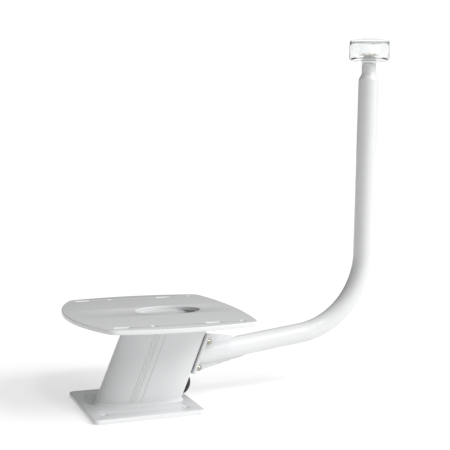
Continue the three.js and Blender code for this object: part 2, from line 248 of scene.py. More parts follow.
# %% Node group helpers
def new_group(name, inputs, outputs):
    group = bpy.data.node_groups.new(name, "ShaderNodeTree")
    for label, default in inputs:
        socket = group.interface.new_socket(label, in_out="INPUT", socket_type="NodeSocketFloat")
        socket.default_value = default
    for label in outputs:
        group.interface.new_socket(label, in_out="OUTPUT", socket_type="NodeSocketFloat")
    entry = group.nodes.new("NodeGroupInput")
    leave = group.nodes.new("NodeGroupOutput")
    return group, entry, leave


def place_node(tree, kind, **values):
    node = tree.nodes.new(kind)
    for key, value in values.items():
        setattr(node, key, value)
    return node


def link(tree, source, target):
    tree.links.new(source, target)


def noise(tree, scale, detail, vector=None):
    node = place_node(tree, "ShaderNodeTexNoise")
    node.inputs["Detail"].default_value = detail
    if isinstance(scale, (int, float)):
        node.inputs["Scale"].default_value = scale
    else:
        link(tree, scale, node.inputs["Scale"])
    if vector is not None:
        link(tree, vector, node.inputs["Vector"])
    return node


def remap(tree, source, low, high, from_low=0.0, from_high=1.0):
    node = place_node(tree, "ShaderNodeMapRange")
    limits = {"From Min": from_low, "From Max": from_high, "To Min": low, "To Max": high}
    for label, value in limits.items():
        node.inputs[label].default_value = value
    link(tree, source, node.inputs["Value"])
    return node.outputs["Result"]


def calculate(tree, operation, first, second):
    node = place_node(tree, "ShaderNodeMath", operation=operation)
    for socket, value in zip(node.inputs, (first, second)):
        if isinstance(value, (int, float)):
            socket.default_value = value
        else:
            link(tree, value, socket)
    return node.outputs["Value"]


# %% Surface groups
def make_skin_group():
    """Orange peel and flow of a melted powder coat. Height is for bump, Gloss for roughness."""
    scales = [("Peel Scale", 650.0), ("Flow Scale", 14.0)]
    group, entry, leave = new_group("coat_skin", scales, ["Height", "Gloss", "Tone"])
    place = place_node(group, "ShaderNodeTexCoord").outputs["Object"]
    peel = noise(group, entry.outputs["Peel Scale"], 2.0, place)
    flow = noise(group, entry.outputs["Flow Scale"], 3.0, place)
    shallow = calculate(group, "MULTIPLY", peel.outputs["Fac"], 0.8)
    link(group, calculate(group, "ADD", shallow, flow.outputs["Fac"]), leave.inputs["Height"])
    link(group, flow.outputs["Fac"], leave.inputs["Gloss"])
    link(group, peel.outputs["Fac"], leave.inputs["Tone"])
    return group


def make_grain_group():
    """Mould grain with settled dust: fine cells for bump, wide soft patches for dust."""
    scales = [("Grain Scale", 900.0), ("Dust Scale", 60.0)]
    group, entry, leave = new_group("mould_grain", scales, ["Height", "Dust"])
    place = place_node(group, "ShaderNodeTexCoord").outputs["Object"]
    cells = place_node(group, "ShaderNodeTexVoronoi")
    link(group, entry.outputs["Grain Scale"], cells.inputs["Scale"])
    link(group, place, cells.inputs["Vector"])
    dust = noise(group, entry.outputs["Dust Scale"], 4.0, place)
    link(group, cells.outputs["Distance"], leave.inputs["Height"])
    link(group, remap(group, dust.outputs["Fac"], 0.0, 1.0, 0.45, 0.75), leave.inputs["Dust"])
    return group


def make_lathe_group():
    """Fine scratches left by turning and polishing, stretched along one direction."""
    scales = [("Mark Scale", 500.0), ("Stretch", 0.06)]
    group, entry, leave = new_group("lathe_marks", scales, ["Height", "Gloss"])
    place = place_node(group, "ShaderNodeTexCoord").outputs["Object"]
    squeeze = place_node(group, "ShaderNodeMapping")
    stretch = place_node(group, "ShaderNodeCombineXYZ")
    stretch.inputs["X"].default_value = 1.0
    link(group, entry.outputs["Stretch"], stretch.inputs["Y"])
    stretch.inputs["Z"].default_value = 1.0
    link(group, stretch.outputs["Vector"], squeeze.inputs["Scale"])
    link(group, place, squeeze.inputs["Vector"])
    marks = noise(group, entry.outputs["Mark Scale"], 3.0, squeeze.outputs["Vector"])
    link(group, marks.outputs["Fac"], leave.inputs["Height"])
    link(group, marks.outputs["Fac"], leave.inputs["Gloss"])
    return group


COAT_SKIN = make_skin_group()
MOULD_GRAIN = make_grain_group()
LATHE_MARKS = make_lathe_group()
print("surface groups:", [g.name for g in (COAT_SKIN, MOULD_GRAIN, LATHE_MARKS)])

# %% [markdown]
# ## Finishes
# Each finish is one Principled shader. Values that are the same all over sit on its own sockets,
# and only what changes over the surface, such as colour tone, gloss and bump, comes from nodes.
# Two values are set for the picture and not for the physics. The clear plastic bends light less
# than real acrylic does, at 1.4 and not 1.49, which keeps the lamp's rims pale. The frosted
# sleeve glows a little, which is painted light: it stands in for light coming in through the
# clear walls and keeps the sleeve white. The gasket and the lid's seal come from the same
# material slot as the sleeve, but a glow would be wrong there, so they get a plain grey finish.


# %% Finishes
def new_finish(name, group, **values):
    material = bpy.data.materials.new(name)
    material.use_nodes = True
    tree = material.node_tree
    shader = tree.nodes["Principled BSDF"]
    for label, value in values.items():
        shader.inputs[label.replace("_", " ")].default_value = value
    effect = place_node(tree, "ShaderNodeGroup", node_tree=group)
    return material, tree, shader, effect


def add_bump(tree, shader, height, strength, distance):
    bump = place_node(tree, "ShaderNodeBump")
    bump.inputs["Strength"].default_value = strength
    bump.inputs["Distance"].default_value = distance
    link(tree, height, bump.inputs["Height"])
    link(tree, bump.outputs["Normal"], shader.inputs["Normal"])


def mix_colours(tree, factor, first, second):
    mix = place_node(tree, "ShaderNodeMix", data_type="RGBA")
    mix.inputs["A"].default_value = (*first, 1)
    mix.inputs["B"].default_value = (*second, 1)
    link(tree, factor, mix.inputs["Factor"])
    return mix.outputs["Result"]


def make_white_coat():
    gloss_layer = {"Coat_Weight": 0.35, "Coat_Roughness": 0.12}
    material, tree, shader, skin_of = new_finish("white_coat", COAT_SKIN, **gloss_layer)
    tone = mix_colours(tree, skin_of.outputs["Tone"], (0.68, 0.685, 0.69), (0.73, 0.735, 0.74))
    link(tree, tone, shader.inputs["Base Color"])
    link(tree, remap(tree, skin_of.outputs["Gloss"], 0.30, 0.42), shader.inputs["Roughness"])
    add_bump(tree, shader, skin_of.outputs["Height"], 0.12, 0.25 * MM)
    return material


def make_stainless():
    material, tree, shader, marks = new_finish("stainless", LATHE_MARKS, Metallic=1.0)
    tone = mix_colours(tree, marks.outputs["Gloss"], (0.30, 0.285, 0.24), (0.46, 0.44, 0.38))
    link(tree, tone, shader.inputs["Base Color"])
    link(tree, remap(tree, marks.outputs["Gloss"], 0.14, 0.34), shader.inputs["Roughness"])
    add_bump(tree, shader, marks.outputs["Height"], 0.2, 0.05 * MM)
    return material


def make_rubber():
    material, tree, shader, grain = new_finish("black_rubber", MOULD_GRAIN, Specular_IOR_Level=0.4)
    tone = mix_colours(tree, grain.outputs["Dust"], (0.008, 0.008, 0.009), (0.03, 0.03, 0.031))
    link(tree, tone, shader.inputs["Base Color"])
    link(tree, remap(tree, grain.outputs["Dust"], 0.5, 0.75), shader.inputs["Roughness"])
    add_bump(tree, shader, grain.outputs["Height"], 0.25, 0.1 * MM)
    return material


def make_clear():
    thin_wall = {"Transmission_Weight": 1.0, "IOR": 1.4}
    material, tree, shader, flow = new_finish("clear_plastic", COAT_SKIN, **thin_wall)
    flow.inputs["Peel Scale"].default_value = 260.0
    tone = mix_colours(tree, flow.outputs["Tone"], (0.95, 0.965, 0.965), (0.99, 0.995, 0.995))
    link(tree, tone, shader.inputs["Base Color"])
    link(tree, remap(tree, flow.outputs["Gloss"], 0.02, 0.08), shader.inputs["Roughness"])
    add_bump(tree, shader, flow.outputs["Height"], 0.05, 0.2 * MM)
    return material


def make_frosted():
    frost = {"Transmission_Weight": 0.3, "IOR": 1.49}
    # Painted light: a faint glow stands in for the light coming in through the clear lens, and keeps the
    # sleeve white.
    painted_light_glow = {"Emission_Color": (1, 1, 1, 1), "Emission_Strength": 0.22}
    material, tree, shader, grain = new_finish("frosted_plastic", MOULD_GRAIN, **frost, **painted_light_glow)
    tone = mix_colours(tree, grain.outputs["Dust"], (0.90, 0.91, 0.91), (0.84, 0.85, 0.85))
    link(tree, tone, shader.inputs["Base Color"])
    link(tree, remap(tree, grain.outputs["Dust"], 0.35, 0.5), shader.inputs["Roughness"])
    add_bump(tree, shader, grain.outputs["Height"], 0.15, 0.1 * MM)
    return material


def make_soft_seal():
    material, tree, shader, grain = new_finish("soft_seal", MOULD_GRAIN, Specular_IOR_Level=0.35)
    tone = mix_colours(tree, grain.outputs["Dust"], (0.50, 0.505, 0.51), (0.42, 0.425, 0.43))
    link(tree, tone, shader.inputs["Base Color"])
    link(tree, remap(tree, grain.outputs["Dust"], 0.5, 0.7), shader.inputs["Roughness"])
    add_bump(tree, shader, grain.outputs["Height"], 0.2, 0.1 * MM)
    return material


def make_board():
    material, tree, shader, grain = new_finish("board_white", MOULD_GRAIN)
    grain.inputs["Dust Scale"].default_value = 300.0
    tone = mix_colours(tree, grain.outputs["Dust"], (0.82, 0.83, 0.80), (0.70, 0.71, 0.69))
    link(tree, tone, shader.inputs["Base Color"])
    link(tree, remap(tree, grain.outputs["Dust"], 0.35, 0.5), shader.inputs["Roughness"])
    return material


def make_phosphor():
    material, tree, shader, grain = new_finish("emitter_yellow", MOULD_GRAIN, Coat_Weight=0.6)
    tone = mix_colours(tree, grain.outputs["Dust"], (0.85, 0.62, 0.10), (0.90, 0.72, 0.22))
    link(tree, tone, shader.inputs["Base Color"])
    link(tree, remap(tree, grain.outputs["Dust"], 0.3, 0.4), shader.inputs["Roughness"])
    return material


FINISHES = {
    "white_coat": make_white_coat(),
    "stainless": make_stainless(),
    "black_rubber": make_rubber(),
    "clear_plastic": make_clear(),
    "frosted_plastic": make_frosted(),
    "board_white": make_board(),
    "emitter_yellow": make_phosphor(),
}
SOFT_SEAL = make_soft_seal()
for part in frame["record"]["subparts"]:
    material_slots = frame["nodes"][part["node"]].data.materials
    material_slots.clear()
    material_slots.append(FINISHES[part["material_slot"]])
print("finishes:", sorted(FINISHES))


def make(name, mesh, slot_name, replaced=(), body="frame"):
    mesh.materials.append(FINISHES[slot_name])
    piece = add_piece(name, mesh, body, replaced)
    print(f"{name}: {len(mesh.polygons)} faces")
    return piece


# %% [markdown]
# ## Base plate
# A flat plate cut by laser, with its edge knocked off before coating. A filled 2D curve with a
# bevel gives the rim and every hole the same small round, which a bevel modifier on a plate with
# many holes does less evenly.

# %% Base plate
DECK_BOLT = Vector((65, 59)) * MM
DECK_BOLT_R = 4.5 * MM
base_size = base_high - base_low
base_rim = rounded_rectangle(base_size.x, base_size.y, 9 * MM)
deck_holes = []
for sx in (-1, 1):
    for sy in (-1, 1):
        deck_holes.append(ellipse(sx * DECK_BOLT.x, sy * DECK_BOLT.y, DECK_BOLT_R, DECK_BOLT_R, 40))
cable_opening = ellipse(36 * MM, 0, 20 * MM, 18 * MM)
base_mesh = flat_plate("base", [base_rim, *deck_holes, cable_opening], 0, PLATE, EDGE)
make("base_plate_coated", base_mesh, "white_coat", ["base_plate"])

# %% [markdown]
# ## Top plate
# The radome seat has four bowed sides and rounded corners. The front side bows more than the
# back. Each side is an arc, and each corner is an arc that touches both of its neighbours from
# inside, so the outline has no kinks. The bolt rows hold slots and holes by turns.

# %% Top plate
TOP_CENTRE = 38.5 * MM
CORNER = Vector((114, 131)) * MM
CORNER_R = 18 * MM
SIDE_BOW = top_high.y - CORNER.y
BOLT_STEP = 141.5 * MM / 3
BOLT_ROW = 116.5 * MM
BOLT_R = 4.2 * MM


def bowed_side(half_chord, mid, bow):
    radius = (half_chord ** 2 + bow ** 2) / (2 * bow)
    return mid - radius, radius


def corner_centre(x_centre, x_radius, y_centre, y_radius):
    start, span = Vector((x_centre, 0)), Vector((-x_centre, y_centre))
    first, second = x_radius - CORNER_R, y_radius - CORNER_R
    distance = span.length
    along = (first ** 2 - second ** 2 + distance ** 2) / (2 * distance)
    aside = math.sqrt(first ** 2 - along ** 2)
    unit = span / distance
    return start + unit * along + Vector((-unit.y, unit.x)) * aside


def quarter_outline(end_bow):
    x_centre, x_radius = bowed_side(CORNER.y, CORNER.x + end_bow, end_bow)
    y_centre, y_radius = bowed_side(CORNER.x, CORNER.y + SIDE_BOW, SIDE_BOW)
    c = corner_centre(x_centre, x_radius, y_centre, y_radius)
    first = math.atan2(c.y, c.x - x_centre)
    last = math.atan2(c.y - y_centre, c.x)
    end = arc(x_centre, 0, x_radius, 0, first, 36)
    corner = arc(c.x, c.y, CORNER_R, first, last, 14)[1:]
    side = arc(0, y_centre, y_radius, last, math.pi / 2, 30)[1:]
    return end + corner + side


back = quarter_outline(top_high.x - TOP_CENTRE - CORNER.x)
front = quarter_outline(TOP_CENTRE - top_low.x - CORNER.x)
half = back + [(-x, y) for x, y in reversed(front)][1:]
outline = half + [(x, -y) for x, y in reversed(half)][1:-1]
seat_rim = [(x + TOP_CENTRE, y) for x, y in outline]
seat_holes = [ellipse(53 * MM, 0, 53 * MM, 34 * MM, 128)]
for row in (-BOLT_ROW, BOLT_ROW):
    for turn in (-2, 1):
        seat_holes.append(slot_outline(TOP_CENTRE + turn * BOLT_STEP, row, 26 * MM, BOLT_R))
    for turn in (-1, 2):
        seat_holes.append(ellipse(TOP_CENTRE + turn * BOLT_STEP, row, BOLT_R, BOLT_R, 40))
top_mesh = flat_plate("top", [seat_rim, *seat_holes], SEAT - PLATE, SEAT, EDGE)
make("top_plate_coated", top_mesh, "white_coat", ["top_plate"])

# %% [markdown]
# ## Column
# The column is one oval extrusion, cut flat at the back, with fine lines drawn along each
# side. The outline is a formula in the angle: the oval or the flat, whichever is nearer, with the
# change between them eased. Leaning it back is a shear, because its ends are cut level.

# %% Column
GROOVES = [g * MM for g in (-32, -28, -24, -14.5)]
GROOVE_WIDTH = 1.5 * MM
GROOVE_DEPTH = 0.75 * MM
OUTLINE_STEPS = 720


def soft_minimum(a, b, reach):
    h = max(reach - abs(a - b), 0) / reach
    return min(a, b) - h * h * reach / 4


def oval_point(angle, shrink, back_shrink, easing, grooves):
    along, across = math.cos(angle), math.sin(angle)
    rx, ry = OVAL["half_x"] - shrink, OVAL["half_y"] - shrink
    radius = 1 / math.sqrt((along / rx) ** 2 + (across / ry) ** 2)
    if along > 0.05:
        radius = soft_minimum(radius, (OVAL["back"] - back_shrink) / along, easing)
    u, v = radius * along, radius * across
    for g in grooves:
        offset = abs(u - g) / (GROOVE_WIDTH / 2)
        if offset < 1:
            v -= math.copysign(GROOVE_DEPTH * math.cos(offset * math.pi / 2) ** 2, v)
    return Vector((u, v))


def oval_outline(shrink=0.0, back_shrink=0.0, easing=5 * MM, grooves=(), steps=OUTLINE_STEPS):
    angles = (2 * math.pi * i / steps for i in range(steps))
    return [oval_point(angle, shrink, back_shrink, easing, grooves) for angle in angles]


def leaned(point, z):
    return Vector((point.x + OVAL["centre"] + LEAN * (z - PLATE), point.y, z))


def back_place(z, along=0.0, across=0.0):
    """Puts a piece whose Z axis points out of the column's flat back at a height up that back."""
    land = OVAL["centre"] + OVAL["back"] + LEAN * (z - PLATE)
    outwards = Matrix.Rotation(math.pi / 2, 4, "Y")
    turn = Matrix.Rotation(RAKE, 4, "Y") @ Matrix.Translation((0, across, along)) @ outwards
    return Matrix.Translation((land, 0, z)) @ turn


CUT_FROM = -30 * MM
CUT_TO = 5 * MM


def drill(piece, places):
    """Cuts round holes, each given as its place and radius, and applies the cuts."""
    for place, radius in places:
        cutter_side = [(0, CUT_FROM), (radius, CUT_FROM), (radius, CUT_TO), (0, CUT_TO)]
        cutter_mesh = turned("cutter", cutter_side, place, 64)
        cutter = bpy.data.objects.new("cutter", cutter_mesh)
        bpy.context.scene.collection.objects.link(cutter)
        cut = piece.modifiers.new("hole", "BOOLEAN")
        cut.operation = "DIFFERENCE"
        cut.solver = "EXACT"
        cut.object = cutter
        finished = piece.evaluated_get(bpy.context.evaluated_depsgraph_get())
        cut_mesh = bpy.data.meshes.new_from_object(finished)
        piece.modifiers.remove(cut)
        piece.data = cut_mesh
        bpy.data.objects.remove(cutter)
        bpy.data.meshes.remove(cutter_mesh)
    piece.data.set_sharp_from_angle(angle=SMOOTH_ANGLE)


FLANGE_Z = 80.5 * MM
BUNG_Z = 28 * MM
BOLT_ALONG = 22.5 * MM
BOLT_ACROSS = 16 * MM
bolt_places = []
for along in (BOLT_ALONG, -BOLT_ALONG):
    for across in (-BOLT_ACROSS, BOLT_ACROSS):
        bolt_places.append((along, across))
FOOT_GAP = 0.1 * MM
outer = oval_outline(grooves=GROOVES)
inner = oval_outline(shrink=WALL, back_shrink=BACK_WALL, easing=3 * MM)
foot, head = PLATE + FOOT_GAP, SEAT - PLATE - FOOT_GAP
walls = [(outer, foot), (outer, head), (inner, head), (inner, foot)]
column_mesh = skin("column_skin", [[leaned(p, z) for p in line] for line, z in walls], loop=True)
column = make("column_coated", column_mesh, "white_coat", ["column"])


# %% [markdown]
# ## Holes in the back of the column
# The back wall is thick enough to tap for four bolts. It also has a hole for the lamp's lead and
# one for the cable bung. Boolean cuts are right here: the holes are few, round and deep, and they
# meet the wall square. The arm's line says where the lead passes.

# %% Holes in the back of the column
ARM_SLOPE = 0.1243
ARM_POINT = Vector((235.7, 90.5)) * MM
FLANGE_FACE = 6.6 * MM
CABLE_R = 12 * MM


def arm_height(x):
    return ARM_POINT.y + ARM_SLOPE * (x - ARM_POINT.x)


flange_point = back_place(FLANGE_Z) @ Vector((0, 0, FLANGE_FACE))
ARM_ALONG = (arm_height(flange_point.x) - flange_point.z) / (math.cos(RAKE) - ARM_SLOPE * math.sin(RAKE))
back_holes = [(back_place(FLANGE_Z, ARM_ALONG), CABLE_R), (back_place(BUNG_Z), 10 * MM)]
back_holes += [(back_place(FLANGE_Z, along, across), 3.3 * MM) for along, across in bolt_places]
drill(column, back_holes)
print("the lamp's lead passes", round(ARM_ALONG / MM, 2), "mm along the rake from the flange's centre")

# %% [markdown]
# ## Weld beads
# The column is welded all round to both plates, and the beads show through the coat as soft
# fillets with a slight ripple. A bead is a small rounded triangle carried along the corner. At
# each place it needs only the corner and the two directions in which the walls leave it.


# %% Weld beads
def bead(name, corners, outward, upward, leg, loop=True):
    buried = 0.35
    count = len(corners)
    rings = []
    for i, (corner, out, up) in enumerate(zip(corners, outward, upward)):
        taper = 1.0 if loop else min(1.0, 0.35 + 6 * min(i, count - 1 - i) / count)
        size = leg * taper * (1 + 0.045 * math.sin(i * 1.05) + 0.03 * math.sin(i * 0.31))
        ring = [corner - (out + up) * leg * buried]
        for s in range(8):
            turn = math.pi / 2 * s / 7
            share = Vector((abs(math.cos(turn)) ** 1.75, abs(math.sin(turn)) ** 1.75))
            ring.append(corner + (out * share.x + up * share.y) * size)
        rings.append(ring)
    return skin(name, rings, loop)


def outline_normals(points):
    count = len(points)
    tangents = [points[(i + 1) % count] - points[i - 1] for i in range(count)]
    return [Vector((t.y, -t.x)).normalized() for t in tangents]


WELD_STATIONS = 900
weld_line = oval_outline(steps=WELD_STATIONS)
weld_out = [Vector((n.x, n.y, 0)) for n in outline_normals(weld_line)]
rake_up = Vector((LEAN, 0, 1)).normalized()
foot_corners = [leaned(p, PLATE) for p in weld_line]
head_corners = [leaned(p, SEAT - PLATE) for p in weld_line]
foot_bead = bead("foot_weld", foot_corners, weld_out, [rake_up] * WELD_STATIONS, 4.2 * MM)
head_bead = bead("head_weld", head_corners, weld_out, [-rake_up] * WELD_STATIONS, 3.4 * MM)
make("foot_weld", foot_bead, "white_coat")
make("head_weld", head_bead, "white_coat")

# %% [markdown]
# ## Cable bung
# A moulded rubber bung closes the lower hole until a cable needs it. It is turned from one
# profile: a neck that grips the hole, a sharp step that seals on the wall, and a tall dome to
# pull it by.

# %% Cable bung
BUNG_R = 16.5 * MM
BUNG_RIM = 1.8 * MM
BUNG_DOME = 10.4 * MM
BUNG_STEPS = 18
turns = [math.pi / 2 * i / BUNG_STEPS for i in range(BUNG_STEPS + 1)]
dome = [(BUNG_R * math.cos(a), BUNG_RIM + BUNG_DOME * math.sin(a)) for a in turns]
bung_neck = [(0, -9.5), (8.6, -9.5), (9.6, -7.5), (9.6, 0.3), (16.5, 0.3)]
bung_profile = [(r * MM, h * MM) for r, h in bung_neck] + dome[:-1] + [(0, dome[-1][1])]
bung_mesh = turned("bung", bung_profile, back_place(BUNG_Z), 80)
make("cable_bung_rubber", bung_mesh, "black_rubber", ["cable_bung"], body="bung")

# %% [markdown]
# ## Gasket and flange
# The arm can be taken off for shipping, so it ends in a bolted flange with a thin pale gasket
# that keeps the coat from chafing. Both share one outline and one set of holes.

# %% Gasket and flange
FLANGE_LENGTH = 69 * MM
FLANGE_WIDTH = 46 * MM


def flange_outlines(margin):
    rim = rounded_rectangle(FLANGE_LENGTH - margin, FLANGE_WIDTH - margin, 7 * MM)
    holes = [ellipse(-along, across, 3.3 * MM, 3.3 * MM, 32) for along, across in bolt_places]
    return [rim, *holes, ellipse(-ARM_ALONG, 0, CABLE_R, CABLE_R, 64)]


flange_place = back_place(FLANGE_Z)
gasket_mesh = flat_plate("gasket", flange_outlines(1 * MM), 0.3 * MM, 1.3 * MM, 0.15 * MM, flange_place)
gasket_piece = make("flange_gasket_pad", gasket_mesh, "frosted_plastic", ["flange_gasket"])
gasket_piece.data.materials[0] = SOFT_SEAL
flange_mesh = flat_plate("flange", flange_outlines(0), 1.6 * MM, FLANGE_FACE, 1 * MM, flange_place)
make("arm_flange_coated", flange_mesh, "white_coat", ["arm_flange"])

# %% [markdown]
# ## Light pole
# The pole is one length of aluminium pipe, bent cold round a former so that it keeps its round
# section. Its lower end is sawn at the slant of the flange. The mesh is a row of rings along the
# centre line, up the outside and back down the inside, so the wall has its true thickness.

# %% Light pole
TUBE_INNER_R = 14.4 * MM
BEND_R = 136 * MM
TUBE_SIDES = 72
BEND_STEPS = 56
slope_angle = math.atan(ARM_SLOPE)
arm_way = Vector((math.cos(slope_angle), 0, math.sin(slope_angle)))
tangent = BEND_R * math.tan((math.pi / 2 - slope_angle) / 2)
bend_centre = Vector((POLE_X - BEND_R, 0, arm_height(POLE_X) + tangent))
flange_out = Vector((math.cos(RAKE), 0, -math.sin(RAKE)))
arm_start = flange_place @ Vector((-ARM_ALONG, 0, FLANGE_FACE))


def tube_stations():
    """Points of the centre line after its start, each with its direction."""
    stations = []
    for i in range(BEND_STEPS + 1):
        a = slope_angle - math.pi / 2 + (math.pi / 2 - slope_angle) * i / BEND_STEPS
        point = bend_centre + Vector((math.cos(a), 0, math.sin(a))) * BEND_R
        stations.append((point, Vector((-math.sin(a), 0, math.cos(a)))))
    stations.append((Vector((POLE_X, 0, pole_high.z)), Vector((0, 0, 1))))
    return stations


def tube_ring(point, way, radius):
    side = Vector((0, 1, 0))
    lift = way.cross(side)
    turns = (2 * math.pi * j / TUBE_SIDES for j in range(TUBE_SIDES))
    return [point + (lift * math.cos(a) + side * math.sin(a)) * radius for a in turns]


def mitred_ring(radius, gap=0.3 * MM):
    """The ring at the flange: each point slides along the arm to the flange's face."""
    face = arm_start + flange_out * gap
    ring = tube_ring(arm_start, arm_way, radius)
    return [p + arm_way * (flange_out.dot(face - p) / flange_out.dot(arm_way)) for p in ring]


stations = tube_stations()
outside = [mitred_ring(TUBE_R)] + [tube_ring(p, way, TUBE_R) for p, way in stations]
inside = [tube_ring(p, way, TUBE_INNER_R) for p, way in reversed(stations)] + [mitred_ring(TUBE_INNER_R)]
tube_mesh = skin("tube", outside + inside, loop=True)
pole_nodes = ["light_pole_arm", "light_pole_bend", "light_pole_upright"]
make("light_pole_coated", tube_mesh, "white_coat", pole_nodes)
print("the bend starts at", [round(c / MM, 1) for c in stations[0][0]])

# %% [markdown]
# ## Gussets
# Two flat webs stiffen the joint of the arm and the flange. Each is a simple outline drawn in the
# upright middle plane, with its corners eased, and its edge runs a little into the tube, where
# the weld is.

# %% Gussets
WEB_HALF = 3 * MM
INTO_TUBE = 0.8 * MM


def face_x(z):
    """How far out the flange's face is at a height."""
    return OVAL["centre"] + OVAL["back"] + LEAN * (z - PLATE) + (FLANGE_FACE + 0.3 * MM) / math.cos(RAKE)


def under_tube(x):
    return arm_height(x) - (TUBE_R - INTO_TUBE) / math.cos(slope_angle)


def over_tube(x):
    return arm_height(x) + (TUBE_R - INTO_TUBE) / math.cos(slope_angle)


LOWER_FOOT_Z = 43.6 * MM
UPPER_TOP_Z = 107.3 * MM
lower_tip = 190 * MM
upper_tip = 172 * MM
lower_inside = face_x(under_tube(108 * MM))
upper_inside = face_x(over_tube(112 * MM))
lower_web = [
    (face_x(LOWER_FOOT_Z), LOWER_FOOT_Z),
    (lower_tip - 2 * MM, under_tube(lower_tip) - 1.2 * MM),
    (lower_tip, under_tube(lower_tip)),
    (lower_inside, under_tube(lower_inside)),
]
upper_web = [
    (upper_inside, over_tube(upper_inside)),
    (upper_tip, over_tube(upper_tip)),
    (upper_tip - 2 * MM, over_tube(upper_tip) + 1.2 * MM),
    (126 * MM, 106.5 * MM),
    (face_x(UPPER_TOP_Z), UPPER_TOP_Z),
]
stand_up = Matrix.Rotation(math.pi / 2, 4, "X")
for web_name, corners in (("lower_gusset", lower_web), ("upper_gusset", upper_web)):
    web_outline = eased([(x, z, 0) for x, z in corners], 1.2 * MM)
    web_mesh = flat_plate(web_name, [web_outline], -WEB_HALF, WEB_HALF, 0.9 * MM, stand_up)
    make(web_name + "_coated", web_mesh, "white_coat", [web_name])

# %% [markdown]
# ## Small welds on the arm
# A ring of weld joins the tube to its flange, and short straight welds hold the webs. They use
# the same bead helper: only the corners and the two directions change.

# %% Small welds on the arm
ring_corners = mitred_ring(TUBE_R, 0.1 * MM)
middle = sum(ring_corners, Vector()) / len(ring_corners)
ring_out = [(p - middle).normalized() for p in ring_corners]
arm_bead = bead("arm_weld", ring_corners, ring_out, [arm_way] * len(ring_corners), 2.8 * MM)
make("arm_weld", arm_bead, "white_coat")


def web_welds(label, first_x, last_x, side_of_tube, leg=2 * MM, steps=60):
    """Straight welds along both sides of a web, where it meets the tube."""
    drop = TUBE_R - math.sqrt(TUBE_R ** 2 - WEB_HALF ** 2)
    for side_name, side in (("near", -1), ("far", 1)):
        corners = []
        for i in range(steps + 1):
            x = first_x + (last_x - first_x) * i / steps
            z = arm_height(x) + side_of_tube * (TUBE_R - drop) / math.cos(slope_angle)
            corners.append(Vector((x, side * WEB_HALF, z)))
        out = Vector((0, side, -0.18 * side_of_tube)).normalized()
        away = Vector((0, 0, side_of_tube))
        name = f"{label}_weld_{side_name}"
        count = len(corners)
        weld_mesh = bead(name, corners, [out] * count, [away] * count, leg, loop=False)
        make(name, weld_mesh, "white_coat")


web_welds("lower_web", lower_inside + 2 * MM, lower_tip - 14 * MM, -1)
web_welds("upper_web", upper_inside + 3 * MM, upper_tip - 12 * MM, 1)

# %% [markdown]
# ## Bolts and washers
# Stainless button-head screws hold the flange. A turned profile gives the rounded head, and its
# last rings are six-sided, which makes the socket for the key without any cutting.

# %% Bolts and washers
HEAD_FOOT = 8.4
head_side = [(3, HEAD_FOOT - 17), (3, HEAD_FOOT), (4.8, HEAD_FOOT)]
head_side += [(5, HEAD_FOOT + 0.25), (5, HEAD_FOOT + 3.2)]
head_dome = [(4.85, 12.4), (4.55, 13.3), (4.05, 14.15), (3.4, 14.85), (2.95, 15.15), (2.75, 15.2)]
key_socket = [(2.3, 14.95), (2.25, 12.8), (2.1, 12.6), (0, 12.4)]
bolt_profile = [(0, HEAD_FOOT - 17)] + head_side + head_dome
bolt_rings = [(r * MM, h * MM) for r, h in bolt_profile + key_socket]
washer_ring = [(3.3, 6.9), (5.4, 6.9), (5.4, 8.1), (3.3, 8.1)]
washer_profile = [(p.x, p.y) for p in eased([(r * MM, h * MM) for r, h in washer_ring], 0.2 * MM, 2)]
for i, (along, across) in enumerate(bolt_places, 1):
    place = back_place(FLANGE_Z, along, across)
    washer_mesh = turned(f"washer_{i}", washer_profile, place, 60, loop=True)
    make(f"flange_washer_{i}_steel", washer_mesh, "stainless", [f"flange_washer_{i}"])
    bolt_mesh = turned(f"bolt_{i}", bolt_rings, place, 72, hexagon_from=len(bolt_profile))
    make(f"flange_bolt_{i}_steel", bolt_mesh, "stainless", [f"flange_bolt_{i}"])

# %% [markdown]
# ## Neck and lamp socket
# A turned plug narrows the pipe down to the lamp. Its cone has soft ends, because a lathe tool
# has a round nose. Each profile is a closed loop of radius and height, read up the outside and
# down the bore.

# %% Neck and lamp socket
pole_axis = Matrix.Translation((POLE_X, 0, 0))


def turned_loop(name, corners, reach, slot_name, replaced, body="frame", sides=112):
    points = eased([(r * MM, h * MM) for r, h in corners], reach * MM, 4)
    mesh = turned(name, [(p.x, p.y) for p in points], pole_axis, sides, loop=True)
    return make(name, mesh, slot_name, replaced, body)


neck_spigot = [(5, 508.3), (13.8, 508.3), (13.8, 529.4), (16.69, 529.4)]
neck_cone = [(16.69, 530.6), (15.6, 533.6), (12.7, 538.6), (11.8, 542.5), (11.8, 558), (5, 558)]
neck_corners = neck_spigot + neck_cone
turned_loop("pole_neck_coated", neck_corners, 0.8, "white_coat", ["pole_neck"])
socket_flare = [(5, 558.3), (11.8, 558.3), (12.0, 559.6), (13.2, 562), (13.2, 563)]
socket_corners = socket_flare + [(9, 563), (9, 570), (5, 570)]
turned_loop("lamp_socket_coated", socket_corners, 0.4, "white_coat", ["lamp_socket"])

# %% [markdown]
# ## Lamp
# The lamp is a clear tub with a clear lid on a thin pale seal, and a frosted sleeve inside that
# spreads the light evenly all round. Real wall thickness matters in clear plastic: light bends
# at each face, and that makes the dark rim lines that tell the eye it is hollow.

